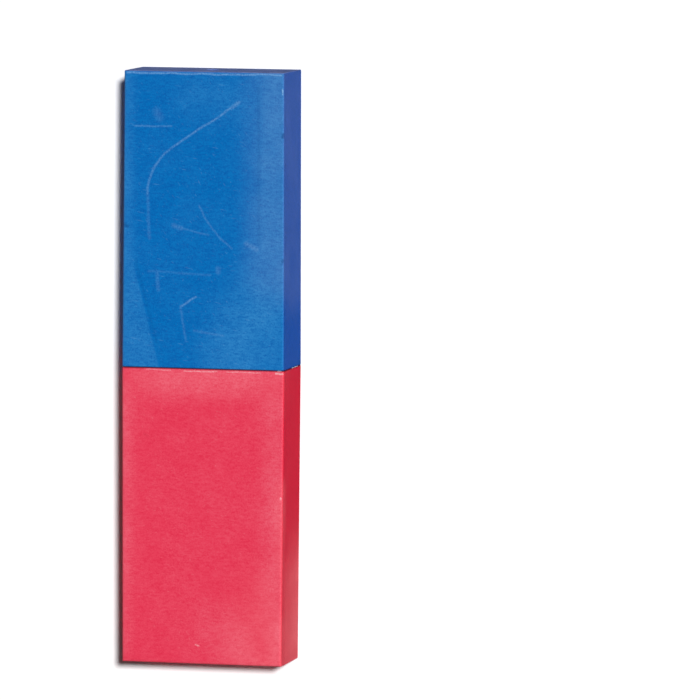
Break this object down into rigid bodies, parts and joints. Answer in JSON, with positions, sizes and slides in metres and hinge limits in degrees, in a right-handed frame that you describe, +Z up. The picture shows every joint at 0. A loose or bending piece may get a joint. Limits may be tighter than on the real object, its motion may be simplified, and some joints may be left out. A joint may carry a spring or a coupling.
{
  "type": "bar magnet",
  "caption": "Flat rectangular bar magnet in a two-tone plastic case, half blue and half red, with a square seam groove at mid length.",
  "frame": {"origin": "underside of the bar, below the middle of the seam, at the centre of the underside", "axes": "+X along the bar towards the blue pole face, +Y across the bar, +Z up through its thickness"},
  "size_m": [0.08, 0.0224, 0.01],
  "materials": {
    "blue_casing": "satin moulded ABS with fine scratches",
    "red_casing": "satin moulded ABS",
    "ferrite": "sintered, dull dark grey",
    "foam": "closed-cell foam",
    "cement": "dried solvent cement, milky"
  },
  "bodies": {
    "root": {"blue_shell": "blue_casing", "red_shell": "red_casing", "seam_cement": "cement", "ferrite_block_red_end": "ferrite", "ferrite_block_middle": "ferrite", "ferrite_block_blue_end": "ferrite", "foam_pad_red_end": "foam", "foam_pad_blue_end": "foam"}
  },
  "joints": []
}
